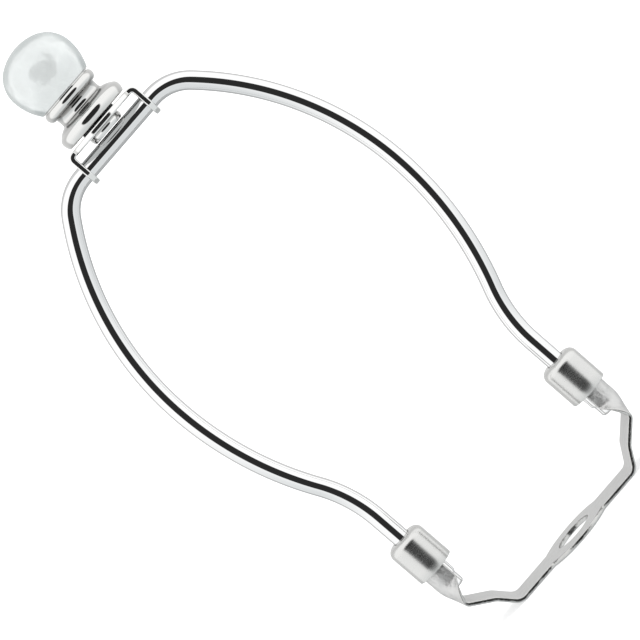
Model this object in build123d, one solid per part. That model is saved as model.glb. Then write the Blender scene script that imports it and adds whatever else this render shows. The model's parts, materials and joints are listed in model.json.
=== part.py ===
from build123d import *
import math
import os

# A lamp harp: the wire hoop that carries a lampshade above its bulb.
# Sizes are in millimetres and angles in degrees. The origin is the middle of the saddle's pipe
# hole, on the saddle's underside. X runs from leg to leg, Y is the depth, Z runs up to the finial.

# Whole harp
harp_height = 152.4        # from the saddle's underside to the seat of the shade's washer
leg_spacing = 56.6         # between the centres of the two legs

# Bow, one bent wire
wire_diameter = 4.76
bow_width = 80.0           # across the widest part, between the wire's centres
widest_height = 92.1
top_run = 25.0             # straight length that the bracket hangs on
shoulder_radius = 12.1     # bend at each end of the top run, at the wire's centre
knee_radius = 37.5         # outward bend where a leg turns straight, at the wire's centre
knee_height = 39.3         # top of the straight leg
leg_end_height = 13.9
leg_end_chamfer = 0.4
stop_foot_height = 17.0    # of the pinched ears that keep a ferrule on its leg
stop_height = 7.0
stop_thickness = 2.0
stop_corner_radius = 1.0
stop_socket_gap = 0.08     # between the ears and the inside of the socket's back

# Saddle, one stamped strap
strap_thickness = 1.2
strap_width = 12.5
ring_diameter = 22.0
pipe_hole_diameter = 10.5
arm_foot_reach = 20.65     # from the axis to the corner where an arm leaves the flat strap
arm_kink_reach = 24.3      # from the axis to the corner where the arm leans further out
arm_kink_height = 5.6
throat_reach = 30.1        # from the axis to the corner where the strap starts to curl
throat_height = 10.2
socket_foot_height = 15.2  # height of the corner where the socket's back turns upright
socket_top_height = 30.1
socket_wire_gap = 0.55     # between the wire and the inside of its socket
lip_reach = 1.95           # from the wire's centre to the tips of the socket's lips
foot_bend_radius = 3.0
kink_bend_radius = 4.0
throat_bend_radius = 3.0
socket_bend_radius = 10.0
throat_sections = 9        # sections that shape the strap between flat and U
flat_lip_share = 0.1       # of each lip's length that lies straight where the curl starts
least_curl = 0.002         # bend of the flat section, because its back is drawn as an arc too

# Ferrules, drawn sleeves
ferrule_diameter = 10.6
ferrule_wall = 0.55
ferrule_height = 11.05
ferrule_shoulder_radius = 2.1
ferrule_wire_gap = 0.10
ferrule_roof_gap = 1.3     # over the socket, whose lips seat in the ferrule's round shoulder

# Top bracket, one folded plate
bracket_width = 23.65      # over the outer faces of its ears
bracket_depth = 7.8        # of its ears and folds
plate_seat_diameter = 20.6 # the plate's round middle, which carries the washer of a shade
plate_thickness = 1.5
ear_bend_radius = 1.9      # outside of the fold
ear_lobe_radius = 3.7
ear_wire_gap = 0.06

# Stud, a threaded swivel
stud_diameter = 6.35
stud_length = 9.5          # thread above the collar
stud_tip_chamfer = 0.6
stud_hole_gap = 0.08
stud_head_diameter = 9.9   # at the widest part of its barrel-shaped side
stud_head_height = 1.75
stud_head_widest_share = 0.36  # of the head's height that lies above its widest part
stud_head_fall = 0.56      # from the widest part in to the rim of the underside
stud_head_wire_gap = 0.15
stud_play = 0.05           # between the head and the plate above it
collar_diameter = 10.4
collar_height = 0.5

# Finial, one turned knob. Its heights are above its own flat seat.
finial_height = 25.8
finial_thread_gap = 0.08
finial_hole_depth = 11.0
flange_diameter = 20.0
flange_widest_height = 1.95
flange_side_radius = 4.2   # below the widest point
flange_foot_chamfer = 0.3
flange_rim_radius = 1.6    # above the widest point
flange_height = 4.975      # to the crown of the dome that follows the rim
flange_dome_radius = 7.3
waist_diameter = 12.9
waist_cove_radius = 0.6
bead_diameter = 16.1
bead_height = 8.6          # to the middle of the bead
bead_radius = 1.6
groove_diameter = 14.4     # between the bead and the ball
groove_height = 9.85
groove_width = 0.4
ball_diameter = 20.0
ball_widest_height = 17.35
ball_belly_radius = 13.8   # below the widest point
ball_shoulder_radius = 8.0

# Worked out from the sizes above
wire_radius = wire_diameter / 2
leg_x = leg_spacing / 2
plate_underside = harp_height - plate_thickness
head_top = plate_underside - stud_play
head_underside = head_top - stud_head_height
top_run_height = head_underside - stud_head_wire_gap - wire_radius
socket_inner_radius = wire_radius + socket_wire_gap
socket_mid_radius = socket_inner_radius + strap_thickness / 2
stop_width = 2 * (socket_inner_radius - stop_socket_gap)
ferrule_roof_height = socket_top_height + ferrule_roof_gap
ferrule_top_height = ferrule_roof_height + ferrule_wall
ferrule_foot_height = ferrule_top_height - ferrule_height
finial_seat = harp_height + collar_height


def bow_path():
    """The wire's centre line, from the left leg's end over the top run to the right leg's end."""
    widest_x = bow_width / 2
    top_end = Vector(top_run / 2, 0, top_run_height)
    shoulder_centre = top_end - Vector(0, 0, shoulder_radius)
    # The flank's arc passes the widest point upright and touches the shoulder's arc from outside
    across = top_end.X - widest_x
    up = shoulder_centre.Z - widest_height
    flank_radius = (shoulder_radius**2 - across**2 - up**2) / (2 * (across + shoulder_radius))
    flank_centre = Vector(widest_x - flank_radius, 0, widest_height)
    shoulder_end = flank_centre + (shoulder_centre - flank_centre).normalized() * flank_radius
    # Below it, the belly's arc and the knee's arc bend opposite ways and end upright at the leg
    step_in = widest_x - leg_x
    drop = widest_height - knee_height
    belly_radius = (step_in**2 + drop**2) / (2 * step_in) - knee_radius
    belly_centre = Vector(widest_x - belly_radius, 0, widest_height)
    knee_centre = Vector(leg_x + knee_radius, 0, knee_height)
    belly_end = belly_centre + (knee_centre - belly_centre).normalized() * belly_radius
    widest = Vector(widest_x, 0, widest_height)
    knee_end = Vector(leg_x, 0, knee_height)
    shoulder = TangentArc(top_end, shoulder_end, tangent=(1, 0, 0))
    flank = TangentArc(shoulder_end, widest, tangent=shoulder % 1)
    belly = TangentArc(widest, belly_end, tangent=(0, 0, -1))
    knee = TangentArc(belly_end, knee_end, tangent=belly % 1)
    leg = Line(knee_end, (leg_x, 0, leg_end_height))
    bends = [edge for curve in (shoulder, flank, belly, knee, leg) for edge in curve.edges()]
    mirrored = [edge for bend in bends for edge in mirror(bend, about=Plane.YZ).edges()]
    top_line = Line((-top_end.X, 0, top_end.Z), top_end)
    return Wire([*mirrored, *top_line.edges(), *bends])


def leg_stop(x):
    """A pair of pinched ears, as one flat tongue through the leg, round at its sides and ends."""
    from_above = extrude(SlotOverall(stop_width, stop_thickness), stop_height)
    outline = Pos(0, stop_height / 2) * RectangleRounded(stop_width, stop_height, stop_corner_radius)
    from_front = extrude(Plane.XZ * outline, stop_thickness, both=True)
    return Pos(x, 0, stop_foot_height) * (from_above & from_front)


def make_bow():
    path = bow_path()
    wire = sweep(Pos(path @ 0) * Circle(wire_radius), path=path)
    end_edges = wire.edges().filter_by(GeomType.CIRCLE).group_by(Axis.Z)[0]
    return chamfer(end_edges, leg_end_chamfer) + leg_stop(-leg_x) + leg_stop(leg_x)


def arm_path():
    """Mid-thickness line of the right arm, from the ring's axis to the socket's top."""
    mid_height = strap_thickness / 2
    socket_back = leg_x + socket_mid_radius
    corners = [
        (0, 0, mid_height),
        (arm_foot_reach, 0, mid_height),
        (arm_kink_reach, 0, arm_kink_height),
        (throat_reach, 0, throat_height),
        (socket_back, 0, socket_foot_height),
        (socket_back, 0, socket_top_height),
    ]
    radii = [foot_bend_radius, kink_bend_radius, throat_bend_radius, socket_bend_radius]
    return FilletPolyline(*corners, radius=radii)


def curled_section(curl):
    """The strap's section, flat at curl 0 and a full U at curl 1, with its back at the origin."""
    u_arc = socket_mid_radius * math.pi / 2
    half_length = strap_width / 2 + (u_arc + lip_reach - strap_width / 2) * curl
    lip = lip_reach * (flat_lip_share + (1 - flat_lip_share) * curl)
    turn = max(curl, least_curl) * math.pi / 2
    radius = (half_length - lip) / turn

    def side(offset):
        """Arc end, lip tip and arc middle of the line that lies offset from the mid-thickness."""
        r = radius + offset
        end = Vector(radius - r * math.cos(turn), r * math.sin(turn))
        tip = end + Vector(math.sin(turn), math.cos(turn)) * lip
        return end, tip, Vector(-offset, 0)

    inner_end, inner_tip, inner_mid = side(-strap_thickness / 2)
    outer_end, outer_tip, outer_mid = side(strap_thickness / 2)

    def low(point):
        return Vector(point.X, -point.Y)

    outline = [
        *ThreePointArc(low(inner_end), inner_mid, inner_end).edges(),
        *Line(inner_end, inner_tip).edges(),
        *Line(inner_tip, outer_tip).edges(),
        *Line(outer_tip, outer_end).edges(),
        *ThreePointArc(outer_end, outer_mid, low(outer_end)).edges(),
        *Line(low(outer_end), low(outer_tip)).edges(),
        *Line(low(outer_tip), low(inner_tip)).edges(),
        *Line(low(inner_tip), low(inner_end)).edges(),
    ]
    return make_face(outline)


def section_plane(path, length):
    """Plane across the strap at a length along its path, with its X towards the lips."""
    along = path.tangent_at(length, position_mode=PositionMode.LENGTH)
    inboard = Vector(-along.Z, 0, along.X)
    origin = path.position_at(length, position_mode=PositionMode.LENGTH)
    return Plane(origin=origin, x_dir=inboard, z_dir=along)


def make_arm():
    """Right arm: a flat bent strap, a throat that curls up, and the upright socket."""
    path = arm_path().wire()
    runs = path.edges()
    flat_end = runs[0].length
    bent_strap = runs[1:5]       # foot bend, lower slope, kink bend and upper slope
    curling = runs[5:8]          # throat bend, throat and the socket's bend
    curl_start = flat_end + sum(run.length for run in bent_strap)
    curl_length = sum(run.length for run in curling)
    flat_section = section_plane(path, flat_end) * Rectangle(strap_thickness, strap_width)
    strap = sweep(flat_section, path=Wire(bent_strap))
    sections = []
    for step in range(throat_sections):
        share = step / (throat_sections - 1)
        curl = share * share * (3 - 2 * share)
        sections.append(section_plane(path, curl_start + curl_length * share) * curled_section(curl))
    throat = loft(sections)
    socket_foot = section_plane(path, curl_start + curl_length)
    socket = extrude(socket_foot * curled_section(1), socket_top_height - socket_foot.origin.Z)
    return strap + throat + socket


def make_saddle():
    flat_end = arm_path().wire().edges()[0].length
    flat = Circle(ring_diameter / 2) + Rectangle(2 * flat_end, strap_width) - Circle(pipe_hole_diameter / 2)
    arm = make_arm()
    return extrude(flat, strap_thickness) + arm + mirror(arm, about=Plane.YZ)


def ferrule_plug(reach, top, corner_radius):
    """Half section of a solid, round-shouldered plug from the ferrules' foot up to a height."""
    plug = Pos(0, ferrule_foot_height) * Rectangle(reach, top - ferrule_foot_height, align=Align.MIN)
    corner = plug.vertices().group_by(Axis.X)[-1].sort_by(Axis.Y)[-1]
    return fillet(corner, corner_radius)


def make_ferrule(x):
    """A sleeve, open below, with a round shoulder and a close hole for the wire on top."""
    reach = ferrule_diameter / 2
    outside = ferrule_plug(reach, ferrule_top_height, ferrule_shoulder_radius)
    inside = ferrule_plug(reach - ferrule_wall, ferrule_roof_height, ferrule_shoulder_radius - ferrule_wall)
    wire_hole = Rectangle(wire_radius + ferrule_wire_gap, ferrule_top_height, align=Align.MIN)
    return Pos(x, 0, 0) * revolve(Plane.XZ * (outside - inside - wire_hole), Axis.Z)


def make_top_bracket():
    """A plate with a round middle, folded down at both ends into ears that hang on the wire."""
    half = bracket_width / 2
    lobe_foot = top_run_height - ear_lobe_radius
    height = harp_height - lobe_foot
    outside = Rectangle(bracket_width, height, align=(Align.CENTER, Align.MAX))
    outside = fillet(outside.vertices().group_by(Axis.Y)[-1], ear_bend_radius)
    inside = Pos(0, -plate_thickness) * Rectangle(
        bracket_width - 2 * plate_thickness, height, align=(Align.CENTER, Align.MAX))
    inside = fillet(inside.vertices().group_by(Axis.Y)[-1], ear_bend_radius - plate_thickness)
    back = Plane.XZ.offset(-bracket_depth / 2)
    folded = extrude(back * Pos(0, harp_height) * (outside - inside), bracket_depth)
    wire_place = Pos(0, top_run_height)
    lobe = wire_place * Circle(ear_lobe_radius)
    shank = Pos(0, harp_height) * Rectangle(
        bracket_depth, plate_thickness + ear_bend_radius, align=(Align.CENTER, Align.MAX))
    ear = make_hull(lobe.edges() + shank.edges()) - wire_place * Circle(wire_radius + ear_wire_gap)
    side_view = extrude(Plane.YZ.offset(-half) * ear, bracket_width)
    between_folds = Rectangle(bracket_width - 2 * ear_bend_radius, plate_seat_diameter)
    seat = Circle(plate_seat_diameter / 2) & between_folds
    plate = extrude(Pos(0, 0, plate_underside) * seat, plate_thickness)
    hole = Circle(stud_diameter / 2 + stud_hole_gap)
    stud_hole = extrude(Pos(0, 0, plate_underside) * hole, plate_thickness)
    return (folded & side_view) + plate - stud_hole


def arc_reach(radius, centre, height):
    """Distance from the axis at which an arc about a centre of (reach, height) meets a height."""
    return centre.X + math.sqrt(radius**2 - (height - centre.Y) ** 2)


def arc_between(centre, radius, start, end):
    """The shorter arc about a centre from one point to another."""
    middle = ((start - centre).normalized() + (end - centre).normalized()).normalized() * radius
    return ThreePointArc(start, centre + middle, end)


def make_stud():
    """Head below the plate, neck through it, thin collar on top of it and thread above."""
    head = stud_head_diameter / 2
    shank = stud_diameter / 2
    collar = collar_diameter / 2
    tip = finial_seat + stud_length
    # The head's side is one arc through its widest part
    head_widest = head_top - stud_head_height * stud_head_widest_share
    below = head_widest - head_underside
    side_radius = (below**2 + stud_head_fall**2) / (2 * stud_head_fall)
    side_centre = Vector(head - side_radius, head_widest)
    rim_foot = Vector(head - stud_head_fall, head_underside)
    rim_top = Vector(arc_reach(side_radius, side_centre, head_top), head_top)
    curves = [
        Line((0, head_underside), rim_foot),
        ThreePointArc(rim_foot, (head, head_widest), rim_top),
        Polyline(rim_top, (shank, head_top), (shank, harp_height), (collar, harp_height)),
        Polyline((collar, harp_height), (collar, finial_seat), (shank, finial_seat), (shank, tip)),
        Polyline((shank, tip), (0, tip), (0, head_underside)),
    ]
    section = make_face([edge for curve in curves for edge in curve.edges()])
    tip_corner = section.vertices().sort_by(Axis.Y)[-2:].sort_by(Axis.X)[-1]
    section = chamfer(tip_corner, stud_tip_chamfer)
    return revolve(Plane.XZ * section, Axis.Z)


def finial_outline():
    """Half section of the knob with its blind hole, in X and Y, above its own seat."""
    hole = stud_diameter / 2 + finial_thread_gap
    flange = flange_diameter / 2
    waist = waist_diameter / 2
    ball = ball_diameter / 2
    # Flange: a bulged side, a tighter rim and a wide dome, then a small cove into the waist
    flange_widest = Vector(flange, flange_widest_height)
    side_centre = flange_widest - Vector(flange_side_radius, 0)
    foot_reach = arc_reach(flange_side_radius, side_centre, flange_foot_chamfer)
    side_foot = Vector(foot_reach, flange_foot_chamfer)
    seat_rim = side_foot - Vector(flange_foot_chamfer, flange_foot_chamfer)
    rim_centre = flange_widest - Vector(flange_rim_radius, 0)
    dome_drop = rim_centre.Y - (flange_height - flange_dome_radius)
    dome_step = math.sqrt((flange_dome_radius - flange_rim_radius) ** 2 - dome_drop**2)
    dome_centre = rim_centre - Vector(dome_step, dome_drop)
    rim_end = rim_centre + (rim_centre - dome_centre).normalized() * flange_rim_radius
    cove_step = waist + waist_cove_radius - dome_centre.X
    cove_rise = math.sqrt((flange_dome_radius + waist_cove_radius) ** 2 - cove_step**2)
    cove_centre = dome_centre + Vector(cove_step, cove_rise)
    dome_end = cove_centre + (dome_centre - cove_centre).normalized() * waist_cove_radius
    waist_foot = cove_centre - Vector(waist_cove_radius, 0)
    # Bead, from the waist to the groove, and the ball's lower round from the groove to its widest
    bead_centre = Vector(bead_diameter / 2 - bead_radius, bead_height)
    bead_foot = Vector(waist, bead_height - math.sqrt(bead_radius**2 - (waist - bead_centre.X) ** 2))
    bead_tip = bead_centre + Vector(bead_radius, 0)
    groove_foot_height = groove_height - groove_width / 2
    groove_top_height = groove_height + groove_width / 2
    bead_top = Vector(arc_reach(bead_radius, bead_centre, groove_foot_height), groove_foot_height)
    groove_floor = Vector(groove_diameter / 2, groove_height)
    belly_centre = Vector(ball - ball_belly_radius, ball_widest_height)
    ball_foot = Vector(arc_reach(ball_belly_radius, belly_centre, groove_top_height), groove_top_height)
    ball_widest = Vector(ball, ball_widest_height)
    # The ball's shoulder runs into a flatter crown, whose centre lies on the axis
    shoulder_centre = ball_widest - Vector(ball_shoulder_radius, 0)
    rise = finial_height - ball_widest_height
    squares = shoulder_centre.X**2 + rise**2 - ball_shoulder_radius**2
    crown_radius = squares / (2 * (rise - ball_shoulder_radius))
    crown_centre = Vector(0, finial_height - crown_radius)
    shoulder_end = crown_centre + (shoulder_centre - crown_centre).normalized() * crown_radius
    crown_top = Vector(0, finial_height)
    drill_point = Vector(0, finial_hole_depth + hole / math.sqrt(3))
    curves = [
        Polyline((hole, 0), seat_rim, side_foot),
        arc_between(side_centre, flange_side_radius, side_foot, flange_widest),
        arc_between(rim_centre, flange_rim_radius, flange_widest, rim_end),
        arc_between(dome_centre, flange_dome_radius, rim_end, dome_end),
        arc_between(cove_centre, waist_cove_radius, dome_end, waist_foot),
        Line(waist_foot, bead_foot),
        arc_between(bead_centre, bead_radius, bead_foot, bead_tip),
        arc_between(bead_centre, bead_radius, bead_tip, bead_top),
        Polyline(bead_top, groove_floor, ball_foot),
        arc_between(belly_centre, ball_belly_radius, ball_foot, ball_widest),
        arc_between(shoulder_centre, ball_shoulder_radius, ball_widest, shoulder_end),
        arc_between(crown_centre, crown_radius, shoulder_end, crown_top),
        Polyline(crown_top, drill_point, (hole, finial_hole_depth), (hole, 0)),
    ]
    return make_face([edge for curve in curves for edge in curve.edges()])


def make_finial():
    return Pos(0, 0, finial_seat) * revolve(Plane.XZ * finial_outline(), Axis.Z)


if __name__ == "__main__":
    os.makedirs("parts", exist_ok=True)
    nodes = {
        "saddle": make_saddle(),
        "bow": make_bow(),
        "left_ferrule": make_ferrule(-leg_x),
        "right_ferrule": make_ferrule(leg_x),
        "top_bracket": make_top_bracket(),
        "stud": make_stud(),
        "finial": make_finial(),
    }
    for name, solid in nodes.items():
        export_step(solid, f"parts/{name}.step")
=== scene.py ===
# %% [markdown]
# # A lamp harp
# A lamp harp is the wire hoop that carries a lampshade above its bulb. A flat stamped saddle sits
# on the lamp's pipe. The bow, one bent wire, drops its two legs into the saddle's sockets, and two
# ferrules slide down over the joints. A folded bracket hangs on the bow's top run, a stud swivels
# in the bracket, and the finial screws down on the stud to hold the shade.
#
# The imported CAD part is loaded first. It fixes where every piece sits, so the sizes below are read
# from its boxes wherever they can be. Blender's unit is the metre, and `mm` keeps the sizes
# readable.

# %% Load the fixed frame
import json
import math
from collections import namedtuple

import bmesh
import bpy
from mathutils import Matrix, Vector

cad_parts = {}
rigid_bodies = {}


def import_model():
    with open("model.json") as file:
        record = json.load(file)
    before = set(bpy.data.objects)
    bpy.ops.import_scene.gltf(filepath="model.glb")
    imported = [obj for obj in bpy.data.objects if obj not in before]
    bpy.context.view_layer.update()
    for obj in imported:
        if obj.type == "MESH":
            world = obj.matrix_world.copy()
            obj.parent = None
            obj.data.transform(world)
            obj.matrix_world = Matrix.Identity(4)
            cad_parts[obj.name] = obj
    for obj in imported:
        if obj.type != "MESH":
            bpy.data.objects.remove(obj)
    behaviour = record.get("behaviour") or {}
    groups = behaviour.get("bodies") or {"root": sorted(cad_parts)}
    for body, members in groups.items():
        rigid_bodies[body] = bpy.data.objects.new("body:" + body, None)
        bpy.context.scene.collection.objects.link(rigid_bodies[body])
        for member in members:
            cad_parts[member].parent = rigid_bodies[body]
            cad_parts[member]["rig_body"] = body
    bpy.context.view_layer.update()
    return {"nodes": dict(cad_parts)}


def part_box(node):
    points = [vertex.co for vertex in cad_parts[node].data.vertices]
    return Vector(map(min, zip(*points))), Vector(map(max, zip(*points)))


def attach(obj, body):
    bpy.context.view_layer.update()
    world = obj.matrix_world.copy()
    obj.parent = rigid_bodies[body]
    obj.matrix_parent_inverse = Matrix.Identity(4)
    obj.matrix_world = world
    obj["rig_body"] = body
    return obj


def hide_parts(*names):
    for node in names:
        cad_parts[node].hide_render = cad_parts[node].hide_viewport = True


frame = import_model()
mm = 0.001

# %% [markdown]
# ## Sizes
# The CAD boxes give the outer sizes and the heights. What a box can't tell, such as a bend's
# radius or a wall's thickness, is written here once with its name.

# %% Sizes read from the CAD boxes
boxes = {name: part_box(name) for name in frame["nodes"]}


def low(name):
    return boxes[name][0]


def high(name):
    return boxes[name][1]


leg_x = (low("right_ferrule").x + high("right_ferrule").x) / 2
socket_top = high("saddle").z
leg_end = low("bow").z
bow_top = high("bow").z
bow_side = high("bow").x
ring_radius = high("saddle").y
ferrule_radius = high("right_ferrule").y
bracket_half = high("top_bracket").x
plate_seat_radius = high("top_bracket").y
plate_top = high("top_bracket").z
finial_seat = low("finial").z
print("legs at", round(leg_x / mm, 2), "mm, finial's seat at", round(finial_seat / mm, 2), "mm")

# %% Sizes that no box tells
wire_radius = 2.38 * mm
strap_thickness = 1.2 * mm
strap_half_width = 6.25 * mm
plate_thickness = 1.5 * mm
bracket_half_depth = 3.9 * mm
socket_gap = 0.55 * mm      # between the wire and the inside of its socket
top_run_height = bow_top - wire_radius
socket_inside = wire_radius + socket_gap


# %% [markdown]
# ## Mesh helpers
# Most pieces here are a stack of loops: rings of points that are joined by rows of four-sided
# faces. A turned part is a stack of circles and a strap is a stack of its own cross-sections.
# Building them this way keeps the faces even, so a mirror finish shows clean reflections.

# %% Mesh helpers
weld_distance = 0.0005 * mm     # points closer than this become one
least_edge = 0.0001 * mm        # shorter edges are taken out


def open_edges(mesh):
    """Edges that don't have exactly two faces."""
    uses = {}
    for polygon in mesh.polygons:
        for key in polygon.edge_keys:
            uses[key] = uses.get(key, 0) + 1
    return [key for key, count in uses.items() if count != 2]


def new_mesh(name, bm, material):
    """Turns a bmesh into a finished piece with outward faces and smooth shading."""
    bmesh.ops.remove_doubles(bm, verts=bm.verts, dist=weld_distance)
    bmesh.ops.dissolve_degenerate(bm, edges=bm.edges, dist=least_edge)
    bmesh.ops.recalc_face_normals(bm, faces=bm.faces)
    for face in bm.faces:
        face.smooth = True
    mesh = bpy.data.meshes.new(name)
    bm.to_mesh(mesh)
    bm.free()
    mesh.materials.append(material)
    piece = bpy.data.objects.new(name, mesh)
    bpy.context.scene.collection.objects.link(piece)
    print(f"{name}: {len(mesh.polygons)} faces, {len(open_edges(mesh))} open edges")
    return piece


def add_loops(bm, loops, closed_rows=True, skip=None, paint=None):
    """Joins each loop of points to the next one with four-sided faces. For a row and a place in it,
    skip says that there is no face, and paint gives the number of the face's material."""
    rows = [[bm.verts.new(point) for point in loop] for loop in loops]
    pairs = list(zip(rows, rows[1:]))
    if closed_rows:
        pairs.append((rows[-1], rows[0]))
    count = len(rows[0])
    for row, (upper, lower) in enumerate(pairs):
        for i in range(count):
            if skip and skip(row, i):
                continue
            j = (i + 1) % count
            face = bm.faces.new((upper[i], lower[i], lower[j], upper[j]))
            face.material_index = paint(row, i) if paint else 0
    return rows


def arc(centre, radius, start, end, steps):
    """Points on an arc in a plane, both ends included. Angles are in radians."""
    return [
        (centre[0] + radius * math.cos(a), centre[1] + radius * math.sin(a))
        for a in (start + (end - start) * i / steps for i in range(steps + 1))
    ]


def revolved(name, profile, material, segments=144, place=(0, 0)):
    """A turned piece: its half profile, as (reach, height) points, goes once round an upright axis."""
    bm = bmesh.new()
    turns = [2 * math.pi * i / segments for i in range(segments)]
    loops = [
        [(place[0] + reach * math.cos(a), place[1] + reach * math.sin(a), height) for a in turns]
        for reach, height in profile
    ]
    add_loops(bm, loops, closed_rows=profile[0][0] > 0)
    return new_mesh(name, bm, material)


def finish_piece(piece, node):
    """The piece stands for a CAD node: the node is hidden and the piece rides on that node's body."""
    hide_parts(node)
    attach(piece, frame["nodes"][node]["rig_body"])


# %% [markdown]
# ## Node helpers
# The finishes and the light tent are small node trees. These two helpers add one step of
# arithmetic, or one smooth step, and return its output for the next node.

# %% Node helpers
def new_value(tree, operation, *inputs):
    """One step of arithmetic on numbers and sockets."""
    node = tree.nodes.new("ShaderNodeMath")
    node.operation = operation
    for socket, value in zip(node.inputs, inputs):
        if isinstance(value, (int, float)):
            socket.default_value = value
        else:
            tree.links.new(value, socket)
    return node.outputs[0]


def soft_step(tree, value, low_edge, high_edge):
    """0 below the first edge, 1 above the second and smooth between them."""
    node = tree.nodes.new("ShaderNodeMapRange")
    node.interpolation_type = "SMOOTHSTEP"
    tree.links.new(value, node.inputs["Value"])
    node.inputs["From Min"].default_value = low_edge
    node.inputs["From Max"].default_value = high_edge
    return node.outputs["Result"]


# %% [markdown]
# ## Plated finishes
# Every part is plated metal, so its colour is what it mirrors. What sets the parts apart is how
# smooth they are: the wire was drawn and plated bright, the strap keeps a fine grain from the
# rolling mill, and the ferrules are a little soft. One function builds them all. A fine noise,
# stretched along the grain, moves the roughness and raises a faint relief. A larger noise gives the
# surface its slight waviness and varies the tone the way plating does. Thin nickel loses some
# brightness at a slant, which outlines the wire. The strap was sheared from sheet, so its cut edges
# have a finish of their own, torn along the cut and glossier than the face.

# %% Plated finishes
grain_height = 0.02 * mm


def plated(name, tone, roughness, grain_scale, grain_depth, haze=0.03,
           waviness=0.02, wave=90, wave_height=0.2 * mm, wave_detail=3.0,
           tone_shift=0.04, slant_tone=1.0):
    """A metal finish. The scales of the grain and the wave are in cycles for each metre."""
    material = bpy.data.materials.new(name)
    material.use_nodes = True
    tree = material.node_tree
    nodes = tree.nodes
    shader = nodes["Principled BSDF"]
    shader.inputs["Metallic"].default_value = 1.0
    shader.inputs["Specular Tint"].default_value = (slant_tone, slant_tone, slant_tone, 1)
    place = nodes.new("ShaderNodeTexCoord")
    stretch = nodes.new("ShaderNodeMapping")
    stretch.inputs["Scale"].default_value = grain_scale
    tree.links.new(place.outputs["Object"], stretch.inputs["Vector"])
    grain = nodes.new("ShaderNodeTexNoise")
    grain.inputs["Scale"].default_value = 1.0
    grain.inputs["Detail"].default_value = 6.0
    tree.links.new(stretch.outputs["Vector"], grain.inputs["Vector"])
    cloud = nodes.new("ShaderNodeTexNoise")
    cloud.inputs["Scale"].default_value = wave
    cloud.inputs["Detail"].default_value = wave_detail
    tree.links.new(place.outputs["Object"], cloud.inputs["Vector"])
    # Roughness: it follows the grain, by the haze on either side
    rough = nodes.new("ShaderNodeMapRange")
    rough.inputs["To Min"].default_value = roughness - haze
    rough.inputs["To Max"].default_value = roughness + haze
    tree.links.new(grain.outputs["Fac"], rough.inputs["Value"])
    tree.links.new(rough.outputs["Result"], shader.inputs["Roughness"])
    # Tone: plating is never quite even
    colour = nodes.new("ShaderNodeMix")
    colour.data_type = "RGBA"
    shade = [channel * (1 - tone_shift) for channel in tone]
    colour.inputs[6].default_value = (*shade, 1)
    colour.inputs[7].default_value = (*tone, 1)
    tree.links.new(cloud.outputs["Fac"], colour.inputs[0])
    tree.links.new(colour.outputs[2], shader.inputs["Base Color"])
    # Relief: the long waves of the sheet or wire, with the fine grain on top
    ripple = nodes.new("ShaderNodeBump")
    ripple.inputs["Strength"].default_value = waviness
    ripple.inputs["Distance"].default_value = wave_height
    tree.links.new(cloud.outputs["Fac"], ripple.inputs["Height"])
    relief = nodes.new("ShaderNodeBump")
    relief.inputs["Strength"].default_value = grain_depth
    relief.inputs["Distance"].default_value = grain_height
    tree.links.new(grain.outputs["Fac"], relief.inputs["Height"])
    tree.links.new(ripple.outputs["Normal"], relief.inputs["Normal"])
    tree.links.new(relief.outputs["Normal"], shader.inputs["Normal"])
    return material


bright_wire = plated("bright_wire", (0.68, 0.68, 0.68), 0.05, (900, 900, 60), 0.05, slant_tone=0.7)
bright_strap = plated("bright_strap", (0.58, 0.58, 0.575), 0.49, (300, 2600, 300), 0.30,
                      haze=0.06, waviness=0.5, wave=480, wave_height=0.8 * mm)
sheared_edge = plated("sheared_edge", (0.56, 0.56, 0.55), 0.20, (900, 900, 500), 0.9,
                      haze=0.08, waviness=0.5, wave=900, tone_shift=0.4)
bright_plate = plated("bright_plate", (0.68, 0.68, 0.67), 0.07, (400, 2000, 400), 0.08)
soft_sleeve = plated("soft_sleeve", (0.56, 0.56, 0.55), 0.26, (500, 500, 2500), 0.12, haze=0.05)
turned_stud = plated("turned_stud", (0.65, 0.65, 0.64), 0.10, (300, 300, 3000), 0.15)
# The collar's near-black tone is painted shade: it stands for the shadow in the thin gap between the
# plate and the finial's flange.
collar_painted_shade = plated("collar_painted_shade", (0.08, 0.08, 0.09), 0.50, (300, 300, 3000), 0.15)
turned_knob = plated("turned_knob", (0.59, 0.59, 0.58), 0.06, (200, 200, 2500), 0.05)
print("the wire's finish has", len(bright_wire.node_tree.nodes), "nodes")

# %% [markdown]
# The ball is buffed longer than the rest of the knob and has a pearly lacquer: a pale body that
# scatters light, under a clear coat. Seen at a slant the lacquer mirrors like metal, which draws
# the grey rim round the ball, so its metal share steps up where the surface turns away. Lacquer
# sets a little unevenly: its waves are broad and smooth, and they bend the reflections and the rim.

# %% Pearly ball
rim_start, rim_full = 0.46, 0.56    # slants at which the grey rim begins and is complete
body_mirror, rim_mirror = 0.1, 0.85     # metal shares of the lacquer's middle and of its rim
pearl_ball = plated("pearl_ball", (0.70, 0.73, 0.725), 0.40, (300, 300, 300), 0.05,
                    waviness=0.5, wave=240, wave_height=2.0 * mm, tone_shift=0.14, wave_detail=0.7)
pearl_tree = pearl_ball.node_tree
pearl = pearl_tree.nodes["Principled BSDF"]
pearl_tree.links.new(pearl.inputs["Normal"].links[0].from_socket, pearl.inputs["Coat Normal"])
slant = pearl_tree.nodes.new("ShaderNodeLayerWeight")
slant.inputs["Blend"].default_value = 0.5
rim_share = soft_step(pearl_tree, slant.outputs["Facing"], rim_start, rim_full)
mirror = new_value(pearl_tree, "MULTIPLY_ADD", rim_share, rim_mirror - body_mirror, body_mirror)
pearl_tree.links.new(mirror, pearl.inputs["Metallic"])
pearl.inputs["Specular Tint"].default_value = (0.45, 0.52, 0.52, 1)
pearl.inputs["Coat Weight"].default_value = 0.8
pearl.inputs["Coat IOR"].default_value = 1.8
pearl.inputs["Coat Roughness"].default_value = 0.12
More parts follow.
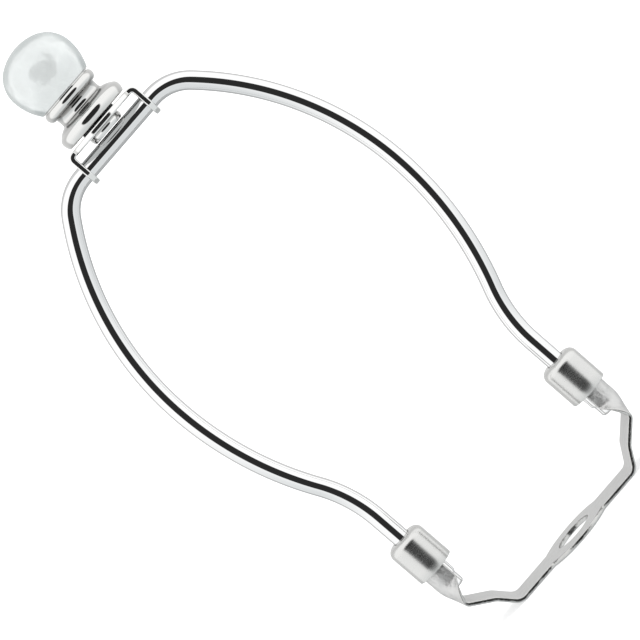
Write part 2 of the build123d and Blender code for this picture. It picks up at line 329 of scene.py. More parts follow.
print("the ball's finish has", len(pearl_tree.nodes), "nodes")

# %% [markdown]
# The knob's tone is darkened in a band under the bead and in the cove at the waist's foot. This is
# painted shade:
# it stands for the dimmer light that these recesses get between the knob's swells.

# %% Painted shade in the knob's recesses
# Each recess's band of painted shade: its height above the seat, its half width and the share of the
# tone that it loses
recess_painted_shades = ((7.1 * mm, 0.5 * mm, 0.42), (4.4 * mm, 0.7 * mm, 0.30))


def painted_shade_band(material, height, half_width, share):
    """Paints shade: darkens the base colour by a share in a soft band about a height of the piece."""
    tree = material.node_tree
    shader = tree.nodes["Principled BSDF"]
    before = shader.inputs["Base Color"].links[0].from_socket
    parts = tree.nodes.new("ShaderNodeSeparateXYZ")
    tree.links.new(tree.nodes["Texture Coordinate"].outputs["Object"], parts.inputs["Vector"])
    away = new_value(tree, "SUBTRACT", parts.outputs["Z"], height)
    away = new_value(tree, "ABSOLUTE", away)
    clear = soft_step(tree, away, half_width * 0.5, half_width * 1.5)
    level = new_value(tree, "MULTIPLY_ADD", clear, share, 1 - share)
    darker = tree.nodes.new("ShaderNodeVectorMath")
    darker.operation = "SCALE"
    tree.links.new(before, darker.inputs[0])
    tree.links.new(level, darker.inputs["Scale"])
    tree.links.new(darker.outputs["Vector"], shader.inputs["Base Color"])


for above_seat, half_width, share in recess_painted_shades:
    painted_shade_band(turned_knob, finial_seat + above_seat, half_width, share)
    print("recess at", round((finial_seat + above_seat) / mm, 2), "mm darkened by", share)

# %% [markdown]
# ## The bow
# The bow is one wire, bent cold round a former. Its centre line is a chain of straight runs and
# arcs that meet without a corner, so it is worked out once, as points, from a few radii. A curve
# object holds those points, and Geometry Nodes sweeps a round profile along it. Sweeping is how a
# wire shape is best made: the section stays round and even however the path bends.

# %% The bow's centre line
widest_height = 92.1 * mm
half_top_run = 12.5 * mm
shoulder_radius = 12.1 * mm
knee_radius = 37.5 * mm
knee_height = 39.3 * mm
leg_end_chamfer = 0.4 * mm
wire_step = 0.45 * mm       # distance between two sections along a bend
top_run_steps = 12
leg_steps = 96


def arc_between(centre, radius, start, end):
    """Points of the shorter arc about a centre, from one point to another, the last one left out."""
    a = math.atan2(start[1] - centre[1], start[0] - centre[0])
    b = math.atan2(end[1] - centre[1], end[0] - centre[0])
    b = a + (b - a + math.pi) % (2 * math.pi) - math.pi
    steps = max(4, round(abs(b - a) * radius / wire_step))
    return arc(centre, radius, a, b, steps)[:-1]


def right_half():
    """Centre line from the middle of the top run to the right leg's end, as (x, z) points."""
    widest_x = bow_side - wire_radius
    top_end = (half_top_run, top_run_height)
    shoulder = Vector((half_top_run, top_run_height - shoulder_radius))
    across = half_top_run - widest_x
    up = shoulder.y - widest_height
    flank_radius = (shoulder_radius**2 - across**2 - up**2) / (2 * (across + shoulder_radius))
    flank = Vector((widest_x - flank_radius, widest_height))
    shoulder_end = flank + (shoulder - flank).normalized() * flank_radius
    step_in = widest_x - leg_x
    drop = widest_height - knee_height
    belly_radius = (step_in**2 + drop**2) / (2 * step_in) - knee_radius
    belly = Vector((widest_x - belly_radius, widest_height))
    knee = Vector((leg_x + knee_radius, knee_height))
    belly_end = belly + (knee - belly).normalized() * belly_radius
    widest = (widest_x, widest_height)
    points = [(half_top_run * i / top_run_steps, top_run_height) for i in range(1, top_run_steps)]
    points += arc_between(shoulder, shoulder_radius, top_end, shoulder_end)
    points += arc_between(flank, flank_radius, shoulder_end, widest)
    points += arc_between(belly, belly_radius, widest, belly_end)
    points += arc_between(knee, knee_radius, belly_end, (leg_x, knee_height))
    straight = knee_height - leg_end - leg_end_chamfer
    points += [(leg_x, knee_height - straight * i / leg_steps) for i in range(leg_steps + 1)]
    return points


half = right_half()
centre_line = [(-x, z) for x, z in reversed(half)] + [(0, top_run_height)] + half
wire_ends = [(-leg_x, leg_end), (leg_x, leg_end)]
print("the bow's centre line has", len(centre_line), "points")

# %% Sweep the wire with Geometry Nodes
wire_sides = 64


def wire_curve():
    """The centre line as a poly curve whose ends narrow to the small chamfer of a cropped wire."""
    points = [wire_ends[0], *centre_line, wire_ends[1]]
    curve = bpy.data.curves.new("bow_line", "CURVE")
    curve.dimensions = "3D"
    spline = curve.splines.new("POLY")
    spline.points.add(len(points) - 1)
    for point, (x, z) in zip(spline.points, points):
        point.co = (x, 0, z, 1)
        point.radius = 1.0
    for end in (spline.points[0], spline.points[-1]):
        end.radius = (wire_radius - leg_end_chamfer) / wire_radius
    line = bpy.data.objects.new("bow_line", curve)
    bpy.context.scene.collection.objects.link(line)
    return line


def sweep_tree(material):
    """Geometry Nodes: a round profile of a named radius, carried along the incoming curve."""
    tree = bpy.data.node_groups.new("sweep_wire", "GeometryNodeTree")
    interface = tree.interface
    interface.new_socket("Geometry", in_out="INPUT", socket_type="NodeSocketGeometry")
    interface.new_socket("Geometry", in_out="OUTPUT", socket_type="NodeSocketGeometry")
    interface.new_socket("Wire Radius", in_out="INPUT", socket_type="NodeSocketFloat")
    interface.new_socket("Sides", in_out="INPUT", socket_type="NodeSocketInt")
    nodes, links = tree.nodes, tree.links
    inputs = nodes.new("NodeGroupInput")
    outputs = nodes.new("NodeGroupOutput")
    profile = nodes.new("GeometryNodeCurvePrimitiveCircle")
    links.new(inputs.outputs["Sides"], profile.inputs["Resolution"])
    links.new(inputs.outputs["Wire Radius"], profile.inputs["Radius"])
    sweep = nodes.new("GeometryNodeCurveToMesh")
    sweep.inputs["Fill Caps"].default_value = True
    links.new(inputs.outputs["Geometry"], sweep.inputs["Curve"])
    links.new(profile.outputs["Curve"], sweep.inputs["Profile Curve"])
    taper = nodes.new("GeometryNodeInputRadius")
    links.new(taper.outputs["Radius"], sweep.inputs["Scale"])
    smooth = nodes.new("GeometryNodeSetShadeSmooth")
    links.new(sweep.outputs["Mesh"], smooth.inputs["Geometry"])
    real = nodes.new("GeometryNodeRealizeInstances")
    links.new(smooth.outputs["Geometry"], real.inputs["Geometry"])
    paint = nodes.new("GeometryNodeSetMaterial")
    paint.inputs["Material"].default_value = material
    links.new(real.outputs["Geometry"], paint.inputs["Geometry"])
    links.new(paint.outputs["Geometry"], outputs.inputs["Geometry"])
    return tree


def socket_id(tree, name):
    """A modifier's input is set by its socket's identifier, which this looks up by name."""
    return next(
        item.identifier for item in tree.interface.items_tree
        if item.item_type == "SOCKET" and item.in_out == "INPUT" and item.name == name
    )


def plain_mesh(source, name):
    """The evaluated result of an object's modifiers as a mesh of its own. The source is removed."""
    evaluated = source.evaluated_get(bpy.context.evaluated_depsgraph_get())
    mesh = bpy.data.meshes.new_from_object(evaluated)
    source.modifiers.clear()
    bpy.data.objects.remove(source)
    mesh.name = name
    return mesh


line = wire_curve()
tree = sweep_tree(bright_wire)
modifier = line.modifiers.new("sweep", "NODES")
modifier.node_group = tree
modifier[socket_id(tree, "Wire Radius")] = wire_radius
modifier[socket_id(tree, "Sides")] = wire_sides
wire_mesh = plain_mesh(line, "swept_wire")
print("swept wire:", len(wire_mesh.polygons), "faces")

# %% [markdown]
# ## The stops on the legs
# A tool pinches each leg near its end. The wire gets thinner from front to back there and two small
# ears swell out of its sides, so a ferrule can't drop off when the harp is lifted out. A pinch
# only pushes metal aside, so the swept wire's own points are moved and no piece is added.

# %% Pinch the legs and finish the bow
stop_foot = 17.0 * mm
stop_height = 7.0 * mm
stop_corner = 1.0 * mm
ear_reach = socket_inside - 0.08 * mm
pinched_half_depth = 1.95 * mm


def pinch_share(height):
    """0 away from the pinch and 1 along it, with a quarter round at each of its ends."""
    depth = min(height - stop_foot, stop_foot + stop_height - height)
    short = 1 - min(1, max(0, depth / stop_corner))
    return math.sqrt(1 - short * short)


bm = bmesh.new()
bm.from_mesh(wire_mesh)
for vert in bm.verts:
    share = pinch_share(vert.co.z)
    leg = math.copysign(leg_x, vert.co.x)
    vert.co.x = leg + (vert.co.x - leg) * (1 + (ear_reach / wire_radius - 1) * share)
    vert.co.y *= 1 + (pinched_half_depth / wire_radius - 1) * share
bow = new_mesh("bow_wire", bm, bright_wire)
finish_piece(bow, "bow")

# %% [markdown]
# ## The ferrules
# A ferrule is drawn from thin sheet: a short sleeve with a round shoulder and a hole that just
# clears the wire. A sleeve is round all over, so its half profile goes once round the leg's axis.

# %% Turn the ferrules
ferrule_wall = 0.55 * mm
ferrule_hole = wire_radius + 0.10 * mm
ferrule_shoulder = 2.1 * mm
rim_round = 0.12 * mm


def ferrule_profile():
    """Closed half profile from the hole's upper edge, down the outside and back up the inside."""
    top, foot = high("right_ferrule").z, low("right_ferrule").z
    shoulder = (ferrule_radius - ferrule_shoulder, top - ferrule_shoulder)
    inside = ferrule_radius - ferrule_wall
    quarter = math.pi / 2
    profile = arc((ferrule_hole + rim_round, top - rim_round), rim_round, 2 * quarter, quarter, 3)
    profile += arc(shoulder, ferrule_shoulder, quarter, 0, 20)
    side = top - ferrule_shoulder - foot
    profile += [(ferrule_radius, foot + side * share) for share in (0.75, 0.5, 0.25)]
    profile += arc((ferrule_radius - rim_round, foot + rim_round), rim_round, 0, -quarter, 3)
    profile += arc((inside + rim_round, foot + rim_round), rim_round, -quarter, -2 * quarter, 3)
    profile += arc(shoulder, ferrule_shoulder - ferrule_wall, 0, quarter, 16)
    profile += [(ferrule_hole, top - ferrule_wall)]
    return profile


for name, x in (("left_ferrule", -leg_x), ("right_ferrule", leg_x)):
    ferrule = revolved(name + "_sleeve", ferrule_profile(), soft_sleeve, 128, (x, 0))
    finish_piece(ferrule, name)

# %% [markdown]
# ## The finial
# The finial is turned from bar: a flange that presses on the shade's washer, a waist, a small bead
# and a ball. Its blind hole takes the stud and is drawn plain, because its thread never shows. Each
# swell is one arc or two and the cove at the waist's foot is a small one, so the profile is a short
# list of arcs.

# %% Turn the finial
stud_radius = 3.175 * mm
finial_hole = stud_radius + 0.08 * mm
hole_depth = 11.0 * mm
groove_height = 9.85 * mm       # above the seat, between the bead and the ball
lacquer_gap = 0.3 * mm          # from the groove up to the ball's lacquer


def finial_profile():
    """Half profile from the hole's mouth, round the outside, to the top of the ball."""
    flange, waist, ball = 10.0 * mm, 6.45 * mm, 10.0 * mm
    flange_widest, foot, side, rim = 1.95 * mm, 0.3 * mm, 4.2 * mm, 1.6 * mm
    flange_top, dome, cove = 4.975 * mm, 7.3 * mm, 0.6 * mm
    bead, bead_height, bead_round = 8.05 * mm, 8.6 * mm, 1.6 * mm
    groove, groove_half = 7.2 * mm, 0.2 * mm
    ball_height, belly, shoulder, top = 17.35 * mm, 13.8 * mm, 8.0 * mm, 25.8 * mm
    quarter = math.pi / 2
    bulge = arc((flange - side, flange_widest), side, math.asin((foot - flange_widest) / side), 0, 12)
    dome_low = flange_top - dome
    drop = flange_widest - dome_low
    dome_in = flange - rim - math.sqrt((dome - rim) ** 2 - drop**2)
    rim_turn = math.atan2(drop, flange - rim - dome_in)
    cove_turn = math.acos((waist + cove - dome_in) / (dome + cove))
    cove_height = dome_low + (dome + cove) * math.sin(cove_turn)
    profile = [(bulge[0][0] - foot, 0), *bulge]
    profile += arc((flange - rim, flange_widest), rim, 0, rim_turn, 12)[1:]
    profile += arc((dome_in, dome_low), dome, rim_turn, cove_turn, 24)[1:]
    profile += arc((waist + cove, cove_height), cove, cove_turn + math.pi, math.pi, 8)[1:]
    bead_centre = bead - bead_round
    start = -math.acos((waist - bead_centre) / bead_round)
    end = math.asin((groove_height - groove_half - bead_height) / bead_round)
    profile += arc((bead_centre, bead_height), bead_round, start, end, 28)
    profile += [(groove, groove_height)]
    start = math.asin((groove_height + groove_half - ball_height) / belly)
    profile += arc((ball - belly, ball_height), belly, start, 0, 36)
    rise, reach = top - ball_height, ball - shoulder
    crown = (reach**2 + rise**2 - shoulder**2) / (2 * (rise - shoulder))
    turn = math.atan2(ball_height - (top - crown), reach)
    profile += arc((reach, ball_height), shoulder, 0, turn, 32)[1:]
    profile += arc((0, top - crown), crown, turn, quarter, 24)[1:]
    return profile


def blind_hole():
    """From the drill point on the axis down to the mouth, with a small countersink."""
    sink = 0.5 * mm
    return [(0, hole_depth + finial_hole / math.sqrt(3)), (finial_hole, hole_depth),
            (finial_hole, hole_depth / 2), (finial_hole, sink), (finial_hole + sink, 0)]


profile = [(reach, finial_seat + height) for reach, height in blind_hole() + finial_profile()]
finial = revolved("finial_knob", profile, turned_knob, 192)
finial.data.materials.append(pearl_ball)
lacquer_low = finial_seat + groove_height + lacquer_gap
for polygon in finial.data.polygons:
    from_axis = Vector((polygon.center.x, polygon.center.y, 0))
    outside = polygon.normal.dot(from_axis) > 0 or polygon.normal.z > 0.5
    if polygon.center.z > lacquer_low and outside:
        polygon.material_index = 1
finish_piece(finial, "finial")

# %% [markdown]
# ## The stud
# The stud turns freely in the bracket. Its head sits under the plate, a thin collar lies on top,
# and above that runs the thread. The thread follows a rule: go once round and it rises by one
# pitch. So its height at each angle is worked out, and the mesh is a plain grid of those points.

# %% Cut the stud's thread
thread_pitch = 25.4 / 27 * mm
thread_depth = 0.45 * mm
flank_slope = 1.35              # how steeply the thread's flanks fall, in depths for each half pitch
crest_shift = 0.15              # in depths, which leaves flat crests
fade_in = 0.8 * thread_pitch    # height over which the thread starts at the collar
tip_chamfer = 0.6 * mm
stud_top = high("stud").z
head_radius = 4.95 * mm
head_fall = 0.56 * mm       # from the widest part of its barrel-shaped side in to the lower rim
head_widest_share = 0.36    # of its height that lies above the widest part
head_low = low("stud").z
head_top = plate_top - plate_thickness - 0.05 * mm
collar_radius = high("stud").y
turned_edge = 0.12 * mm


def stud_profile():
    """Turned part of the stud, from the middle of its head up to the foot of the thread."""
    quarter = math.pi / 2
    above = (head_top - head_low) * head_widest_share
    below = head_top - head_low - above
    side = (below**2 + head_fall**2) / (2 * head_fall)
    centre = (head_radius - side, head_top - above)
    profile = [(0, head_low)]
    profile += arc(centre, side, -math.asin(below / side), math.asin(above / side), 16)
    profile += [(stud_radius, head_top), (stud_radius, plate_top), (collar_radius, plate_top)]
    profile += arc((collar_radius - turned_edge, finial_seat - turned_edge), turned_edge, 0, quarter, 3)
    return profile


def thread_rows(segments=96, rows_per_pitch=14):
    """Rows of points up the thread. It starts softly at the collar and ends at a chamfered tip."""
    foot, tip = finial_seat, stud_top
    count = round((tip - foot) / thread_pitch * rows_per_pitch)
    rows = []
    for row in range(count + 1):
        height = foot + (tip - foot) * row / count
        loop = []
        for i in range(segments):
            a = 2 * math.pi * i / segments
            phase = (height / thread_pitch - a / (2 * math.pi)) % 1
            flank = flank_slope * (1 - abs(2 * phase - 1)) - crest_shift
            cut = min(1, max(0, flank)) * thread_depth
            fade = min(1, (height - foot) / fade_in)
            reach = stud_radius - cut * fade
            reach = min(reach, stud_radius - tip_chamfer + (tip - height))
            loop.append((reach * math.cos(a), reach * math.sin(a), height))
        rows.append(loop)
    return rows


def build_stud():
    bm = bmesh.new()
    threads = thread_rows()
    segments = len(threads[0])
    turns = [2 * math.pi * i / segments for i in range(segments)]
    lower = [
        [(reach * math.cos(a), reach * math.sin(a), height) for a in turns]
        for reach, height in stud_profile()
    ]
    rows = add_loops(bm, lower + threads, closed_rows=False)
    bm.faces.new(rows[-1])
    return new_mesh("stud_screw", bm, turned_stud)


stud = build_stud()
# The collar's faces take the near-black material, painted shade for the gap between the plate and the
# finial.
stud.data.materials.append(collar_painted_shade)
for polygon in stud.data.polygons:
    middle = polygon.center
    beside_thread = math.hypot(middle.x, middle.y) > stud_radius + turned_edge
    if middle.z > plate_top - turned_edge and beside_thread:
        polygon.material_index = 1
finish_piece(stud, "stud")

# %% [markdown]
# ## Flat stock with holes
# The saddle and the bracket are stamped from flat stock, so both have flat zones with a round
# hole, and folds or curls between them. A flat zone is a stack of loops as well. It runs across
# the top face, over the worn outer edge, along the underside and back up through the hole. Where
# the zone goes on into a fold, its edge stays open, and the fold's own loops are welded to it.

# %% Helpers for flat stock
Stock = namedtuple("Stock", "half_width thickness edge_round")
strap = Stock(strap_half_width, strap_thickness, 0.40 * mm)
plate = Stock(bracket_half_depth, plate_thickness, 0.42 * mm)
punched_edge = 0.12 * mm    # a punched hole keeps a sharper edge than a tumbled rim
edge_steps = 6
support = 0.06 * mm         # extra loop beside each rounded edge that keeps the flat face flat
rounded_rows = 3            # rows at each side of an edge that have the face's finish, not the cut's


def rim_steps(thickness, edge_round):
    """(inset, height) steps over an edge, from the top face to the underside."""
    quarter = [math.pi / 2 * i / edge_steps for i in range(edge_steps + 1)]
    over = [
        (edge_round * (1 - math.sin(a)), thickness / 2 - edge_round * (1 - math.cos(a)))
        for a in quarter
    ]
    under = [(inset, -height) for inset, height in reversed(over)]
    return [(edge_round + support, thickness / 2), *over, *under, (edge_round + support, -thickness / 2)]


def inner_marks(stock, count=13):
    """Fixed points across an open edge, which a fold's loops share."""
    reach = stock.half_width - stock.edge_round - support
    return [-reach + 2 * reach * i / (count - 1) for i in range(count)]


def stock_loop(stock, half_width, inset=0.0):
    """The stock's section at a half width, as (across, offset) points. Offset grows downward."""
    margin = stock.edge_round + support
    scale = (half_width - margin) / (stock.half_width - margin)
    marks = [mark * scale for mark in inner_marks(stock)]
    surface = stock.thickness / 2 - inset
    steps = rim_steps(stock.thickness, stock.edge_round)[1:-1]
    corner = [(max(e, inset), max(-surface, min(surface, z))) for e, z in steps]
    right = [(half_width - e, -z) for e, z in corner]
    left = [(-across, offset) for across, offset in reversed(right)]
    top = [(mark, -surface) for mark in marks]
    under = [(mark, surface) for mark in reversed(marks)]
    return top + right + under + left


def holed_zone(bm, stock, outline, hole_radius, place, cut=0):
    """A flat zone round a hole. outline(inset) gives its (x, y, open edge) points, place puts them in
    3-D, and cut is the material of its cut edges."""
    rim = rim_steps(stock.thickness, stock.edge_round)
    outer = [outline(inset) for inset, _ in rim]
    angles = [math.atan2(y, x) for x, y, _ in outline(0)]
    loops = [[place(x, y, height) for x, y, _ in ring] for ring, (_, height) in zip(outer, rim)]
    for inset, height in reversed(rim_steps(stock.thickness, punched_edge)):
        reach = hole_radius + inset
        loops.append([place(reach * math.cos(a), reach * math.sin(a), height) for a in angles])
    is_open = [flag for _, _, flag in outer[0]]
    rim_rows = len(rim) - 1
    cut_rows = [
        row for start in (0, len(rim))
        for row in range(start + rounded_rows, start + rim_rows - rounded_rows + 1)
    ]
    add_loops(bm, loops, skip=lambda row, i: row < rim_rows and is_open[i],
              paint=lambda row, i: cut if row in cut_rows else 0)


def stamped_outline(stock, inset, disc_radius, end):
    """A round disc with a stub of the stock on each side. The stubs' two ends are open edges."""
    half_width = stock.half_width - inset
    corner = stock.half_width - min(inset, stock.edge_round)
    disc = disc_radius - inset
    meet = math.asin(half_width / disc)
    across = disc * math.cos(meet)
    half = [(end, -corner, True)]
    half += [(end, mark, True) for mark in inner_marks(stock)]
    half += [(end, corner, False)]
    stub_steps, turns = 6, 48
    stub = [
        (across + (end - across) * i / stub_steps, half_width, False)
        for i in range(stub_steps - 1, 0, -1)
    ]
    rim = [meet + (math.pi - 2 * meet) * i / turns for i in range(turns + 1)]
    half += stub
    half += [(disc * math.cos(a), disc * math.sin(a), False) for a in rim]
    half += [(-x, y, flag) for x, y, flag in reversed(stub)]
    return half + [(-x, -y, flag) for x, y, flag in half]


# %% [markdown]
# ## The saddle
# The saddle is one stamped strap. A ring with the pipe hole is its middle. Each arm leaves the ring
# flat, bends up, leans out, and then curls round the leg into a U-shaped socket. That curl is the
# hard part. Here the strap's section is first laid out flat, then rolled up by a share that grows
# smoothly from nothing to a full U along the throat, so the sheet never kinks. The blank is cut a
# little wider there, so that the U reaches round the leg.

# %% The arm's path
ring_hole = 5.25 * mm
socket_back = leg_x + socket_inside + strap_thickness / 2
arm_corners = [
    (0, strap_thickness / 2),
    (20.65 * mm, strap_thickness / 2),
    (24.3 * mm, 5.6 * mm),
    (30.1 * mm, 10.2 * mm),
    (socket_back, 15.2 * mm),
    (socket_back, socket_top),
]
arm_bends = [3.0 * mm, 4.0 * mm, 3.0 * mm, 10.0 * mm]
bend_steps = 14


def bend_stations(before, corner, after, radius):
    """Points and headings through a bend that rounds off a corner."""
    before, corner, after = Vector(before), Vector(corner), Vector(after)
    first = (corner - before).normalized()
    second = (after - corner).normalized()
    turn = first.angle_signed(second)
    cut = radius * math.tan(abs(turn) / 2)
    start = corner - first * cut
    heading = math.atan2(first.y, first.x)
    side = -1 if turn > 0 else 1
    normal = Vector((-first.y, first.x)) * side
    centre = start + normal * radius
    spoke = start - centre
    stations = []
    for i in range(bend_steps + 1):
        a = abs(turn) * i / bend_steps * side
        turned = Vector((
            spoke.x * math.cos(a) - spoke.y * math.sin(a),
            spoke.x * math.sin(a) + spoke.y * math.cos(a),
        ))
        stations.append((centre + turned, heading + a))
    return stations


bends = [
    bend_stations(arm_corners[i], arm_corners[i + 1], arm_corners[i + 2], radius)
    for i, radius in enumerate(arm_bends)
]
flat_end = bends[0][0][0].x
print("the saddle is flat out to", round(flat_end / mm, 2), "mm")


# %% Roll the strap into a socket
lip_reach = 1.95 * mm
flat_lip_share = 0.1
least_curl = 0.00001      # a flat section is drawn as an arc of huge radius
throat_step = 0.25 * mm
socket_mid_radius = socket_back - leg_x
u_arc = socket_mid_radius * math.pi / 2


def rolled(across, offset, curl):
    """Where a point of the flat section lies once the strap is rolled up by that share."""
    half_length = strap_half_width + (u_arc + lip_reach - strap_half_width) * curl
    lip = lip_reach * (flat_lip_share + (1 - flat_lip_share) * curl)
    turn = max(curl, least_curl) * math.pi / 2
    radius = (half_length - lip) / turn
    along = abs(across)
    bent = min(along, radius * turn)
    a = bent / radius
    inboard = radius - (radius + offset) * math.cos(a) + math.sin(a) * (along - bent)
    sideways = (radius + offset) * math.sin(a) + math.cos(a) * (along - bent)
    return inboard, math.copysign(sideways, across)


def section(station, curl, side, inset=0.0, rise=0.0):
    """One loop of the strap at a station of its path, on the right (side 1) or left (side -1) arm."""
    (x, z), heading = station
    half_length = strap_half_width + (u_arc + lip_reach - strap_half_width) * curl
    points = []
    for across, offset in stock_loop(strap, half_length, inset):
        inboard, sideways = rolled(across, offset, curl)
        points.append((
            side * (x - math.sin(heading) * inboard),
            sideways,
            z + math.cos(heading) * inboard + rise,
        ))
    return points


def throat_stations():
    """Stations from the throat's bend to the socket's foot, with each one's share of the curl."""
    run = [*bends[2]]
    start, heading = run[-1]
    end = bends[3][0][0]
    steps = max(2, round((end - start).length / throat_step))
    run += [(start + (end - start) * i / steps, heading) for i in range(1, steps)]
    run += bends[3]
    lengths = [0.0]
    for (a, _), (b, _) in zip(run, run[1:]):
        lengths.append(lengths[-1] + (b - a).length)
    shares = [length / lengths[-1] for length in lengths]
    return [(station, share * share * (3 - 2 * share)) for station, share in zip(run, shares)]


def arm_loops(side):
    loops = [section(station, 0, side) for station in bends[0] + bends[1]]
    throat = throat_stations()
    loops += [section(station, curl, side) for station, curl in throat]
    foot = throat[-1][0]
    socket = socket_top - foot[0].y
    for i in range(edge_steps + 1):
        a = math.pi / 2 * i / edge_steps
        inset = strap.edge_round * (1 - math.cos(a))
        drop = strap.edge_round * (1 - math.sin(a))
        loops.append(section(foot, 1, side, inset, socket - drop))
    return loops


def cap_strap(bm, loop):
    """Closes the last loop of a strap with a row of faces from its inner side to its outer side."""
    marks = len(inner_marks(strap))
    corners = len(loop) // 2 - marks
    inner = loop[:marks]
    outer = loop[marks + corners:2 * marks + corners][::-1]
    for i in range(marks - 1):
        bm.faces.new((inner[i], inner[i + 1], outer[i + 1], outer[i]))
    bm.faces.new((inner[-1], *loop[marks:marks + corners], outer[-1]))
    bm.faces.new((outer[0], *loop[2 * marks + corners:], inner[0]))


def is_cut(row, i):
    """1 where a face lies on one of the strap's two cut edges, without their rounded corners."""
    marks = len(inner_marks(strap))
    corners = 2 * edge_steps + 2
    cut_faces = range(marks - 1 + rounded_rows, marks + corners - rounded_rows)
    return int(i % (marks + corners) in cut_faces)


def ring_outline(inset):
    return stamped_outline(strap, inset, ring_radius, flat_end)


def build_saddle():
    bm = bmesh.new()
    holed_zone(bm, strap, ring_outline, ring_hole,
               lambda x, y, z: (x, y, z + strap_thickness / 2), cut=1)
    for side in (1, -1):
        rows = add_loops(bm, arm_loops(side), closed_rows=False, paint=is_cut)
        cap_strap(bm, rows[-1])
    return new_mesh("saddle_strap", bm, bright_strap)


saddle = build_saddle()
saddle.data.materials.append(sheared_edge)
finish_piece(saddle, "saddle")

# %% [markdown]
# ## The top bracket
# The bracket is a short plate folded down at both ends. Its ears taper to round lobes, and each
# lobe has a hole for the wire, so the bracket can tip forwards and backwards on the bow. It uses
# the same helpers as the saddle: three flat zones with holes, and two folds between them.

# %% Fold the top bracket
ear_fold = 1.9 * mm         # outside radius of a fold
lobe_radius = 3.7 * mm
ear_hole = wire_radius + 0.06 * mm
stud_hole = stud_radius + 0.08 * mm
fold_steps = 12
fold_mid = ear_fold - plate_thickness / 2
plate_mid = plate_top - plate_thickness / 2
plate_end = bracket_half - ear_fold
ear_mid = bracket_half - plate_thickness / 2
ear_top = plate_top - ear_fold - top_run_height
shank_low = plate_top - plate_thickness - ear_fold - top_run_height


def ear_outline(inset):
    """An ear seen from the side, about its hole. Its upper edge is open, where the fold ends."""
    corner = bracket_half_depth - min(inset, plate.edge_round)
    depth = bracket_half_depth - inset
    lobe = lobe_radius - inset
    far = math.hypot(bracket_half_depth, shank_low)
    lean = math.atan2(shank_low, bracket_half_depth) - math.acos(lobe_radius / far)
    bend = (lobe - depth * math.cos(lean)) / math.sin(lean)
    touch = (lobe * math.cos(lean), lobe * math.sin(lean))
    shank_steps, taper_steps = 3, 6
    right = [
        (depth, ear_top - (ear_top - bend) * i / shank_steps, False)
        for i in range(1, shank_steps + 1)
    ]
    right += [
        (depth + (touch[0] - depth) * i / taper_steps, bend + (touch[1] - bend) * i / taper_steps, False)
        for i in range(1, taper_steps)
    ]
    bottom = [(x, y, False) for x, y in arc((0, 0), lobe, lean, -math.pi - lean, 40)]
    left = [(-x, y, flag) for x, y, flag in reversed(right)]
    top = [(-corner, ear_top, True)]
    top += [(mark, ear_top, True) for mark in inner_marks(plate)]
    top += [(corner, ear_top, False)]
    return top + right + bottom + left


def fold_loops(side):
    """Loops through a fold, from the plate's end to the top of the ear."""
    loops = []
    for i in range(fold_steps + 1):
        a = math.pi / 2 * i / fold_steps
        loop = []
        for across, offset in stock_loop(plate, bracket_half_depth):
            reach = fold_mid - offset
            x = plate_end + reach * math.sin(a)
            z = plate_top - ear_fold + reach * math.cos(a)
            loop.append((side * x, across, z))
        loops.append(loop)
    return loops


def plate_outline(inset):
    return stamped_outline(plate, inset, plate_seat_radius, plate_end)


def build_bracket():
    bm = bmesh.new()
    holed_zone(bm, plate, plate_outline, stud_hole, lambda x, y, z: (x, y, plate_mid + z))
    for side in (1, -1):
        add_loops(bm, fold_loops(side), closed_rows=False)
        holed_zone(bm, plate, ear_outline, ear_hole,
                   lambda y, z, t: (side * (ear_mid + t), y, top_run_height + z))
    return new_mesh("folded_bracket", bm, bright_plate)


bracket = build_bracket()
finish_piece(bracket, "top_bracket")

# %% [markdown]
# ## Studio
# The harp stands on a plain pale floor in a white light tent. Bright metal only looks like metal
# when it has something dark to mirror, and in such a tent that is the open front with the camera
# in it. So the world is white all round, with one dark window towards the camera, a slightly
# greyer back wall and a grey, faintly bluish ground.

# %% Light tent
window_half_width = math.radians(37)
window_half_height = math.radians(26)
window_lift = math.radians(6)
window_edge = 0.16          # share of the window's size over which it fades out
window_corner = 3           # 2 is an ellipse, and higher values come closer to a rectangle
tent_white = 1.55
window_dark = 0.035
back_grey = 0.95
ground_grey = 0.70
ground_tint = (0.96, 0.99, 1.0, 1)
back_start, back_full = math.radians(114), math.radians(126)    # turns away from the camera's side
ground_full = 0.6           # how far down, as a sine, the ground has its full grey


def share_of(tree, angle, half_size):
    """How far out in the window a direction lies along one axis, raised to the corner's power."""
    size = new_value(tree, "ABSOLUTE", angle)
    share = new_value(tree, "DIVIDE", size, half_size)
    return new_value(tree, "POWER", share, float(window_corner))


def blend(tree, share, first, second):
    """A value that runs from the first to the second as the share runs from 0 to 1."""
    node = tree.nodes.new("ShaderNodeMix")
    tree.links.new(share, node.inputs[0])
    for socket, value in zip((node.inputs[2], node.inputs[3]), (first, second)):
        if isinstance(value, float):
            socket.default_value = value
        else:
            tree.links.new(value, socket)
    return node.outputs[0]


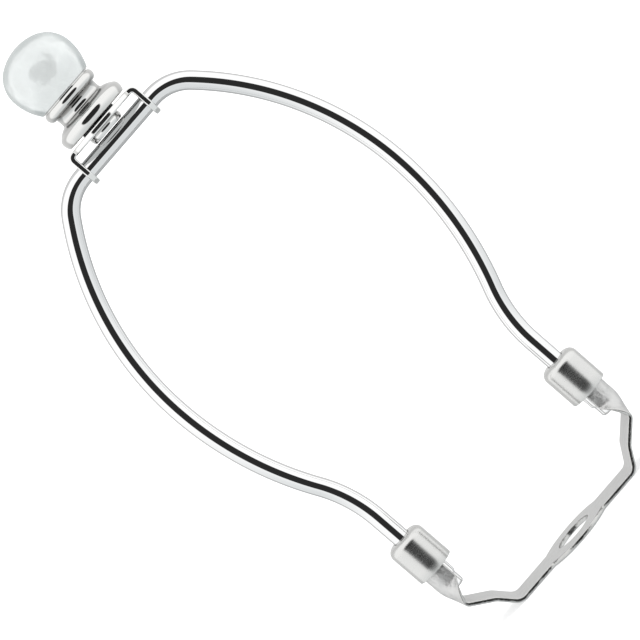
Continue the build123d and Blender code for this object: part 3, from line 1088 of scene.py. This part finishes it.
def build_tent():
    world = bpy.data.worlds.new("light_tent")
    bpy.context.scene.world = world
    world.use_nodes = True
    tree = world.node_tree
    background = tree.nodes["Background"]
    look = tree.nodes.new("ShaderNodeTexCoord")
    parts = tree.nodes.new("ShaderNodeSeparateXYZ")
    tree.links.new(look.outputs["Generated"], parts.inputs["Vector"])
    x, y, z = parts.outputs
    ahead = new_value(tree, "MULTIPLY", y, -1.0)
    turn = new_value(tree, "ARCTAN2", x, ahead)
    lift = new_value(tree, "ARCSINE", z)
    lift = new_value(tree, "SUBTRACT", lift, window_lift)
    beside = share_of(tree, turn, window_half_width)
    above = share_of(tree, lift, window_half_height)
    outside = new_value(tree, "ADD", beside, above)
    fade = [(1 + part * window_edge / 2)**window_corner for part in (-1, 1)]
    outside = soft_step(tree, outside, *fade)
    turned = new_value(tree, "ABSOLUTE", turn)
    behind = soft_step(tree, turned, back_start, back_full)
    below = soft_step(tree, new_value(tree, "MULTIPLY", z, -1.0), 0.0, ground_full)
    tone = blend(tree, behind, tent_white, back_grey)
    tone = new_value(tree, "MULTIPLY", tone, blend(tree, below, 1.0, ground_grey))
    tone = blend(tree, outside, window_dark, tone)
    rays = tree.nodes.new("ShaderNodeLightPath")
    seen = blend(tree, rays.outputs["Is Camera Ray"], tone, tent_white)
    tree.links.new(seen, background.inputs["Strength"])
    tint = tree.nodes.new("ShaderNodeMix")
    tint.data_type = "RGBA"
    tint.inputs[6].default_value = (1, 1, 1, 1)
    tint.inputs[7].default_value = ground_tint
    tree.links.new(below, tint.inputs[0])
    tree.links.new(tint.outputs[2], background.inputs["Color"])


build_tent()
print("light tent:", len(bpy.context.scene.world.node_tree.nodes), "nodes")

# %% Floor
floor_reach = 3.0
floor_drop = 0.02 * mm      # keeps the floor clear of the saddle's underside
floor_tone = (0.78, 0.78, 0.78, 1)
floor_glow = 0.36           # lifts the floor to the tent's white


def build_floor():
    material = bpy.data.materials.new("pale_floor")
    material.use_nodes = True
    shader = material.node_tree.nodes["Principled BSDF"]
    shader.inputs["Base Color"].default_value = floor_tone
    shader.inputs["Roughness"].default_value = 0.9
    shader.inputs["Emission Color"].default_value = (1, 1, 1, 1)
    shader.inputs["Emission Strength"].default_value = floor_glow
    mesh = bpy.data.meshes.new("studio_floor")
    signs = ((-1, -1), (1, -1), (1, 1), (-1, 1))
    corners = [(x * floor_reach, y * floor_reach, -floor_drop) for x, y in signs]
    mesh.from_pydata(corners, [], [(0, 1, 2, 3)])
    mesh.materials.append(material)
    floor = bpy.data.objects.new("studio_floor", mesh)
    floor.visible_glossy = False
    bpy.context.scene.collection.objects.link(floor)


build_floor()

# %% [markdown]
# ## Camera
# The photograph was taken from the height of the finial's foot, looking slightly down at the rest
# of the harp, with the camera rolled so that the harp lies across the frame from corner to corner.

# %% Camera
camera_height = 152.6 * mm
camera_distance = 829.1 * mm
aim_height = 81.3 * mm
camera_side = -1.37 * mm
camera_roll = math.radians(-49.15)
focal_pixels = 3467.6       # the lens's focal length in pixels of the photograph
photo_pixels = 640          # its width
camera_data = bpy.data.cameras.new("camera")
camera_data.sensor_width = 36.0
camera_data.lens = focal_pixels / photo_pixels * camera_data.sensor_width
camera = bpy.data.objects.new("camera", camera_data)
bpy.context.scene.collection.objects.link(camera)
eye = Vector((camera_side, -camera_distance, camera_height))
aim = Vector((camera_side, 0, aim_height))
facing = (aim - eye).to_track_quat("-Z", "Y").to_matrix().to_4x4()
camera.matrix_world = Matrix.Translation(eye) @ facing @ Matrix.Rotation(camera_roll, 4, "Z")
bpy.context.scene.camera = camera
bpy.context.scene.view_settings.view_transform = "Standard"
print("camera's lens:", round(camera_data.lens, 1), "mm at", round((eye - aim).length, 3), "m")
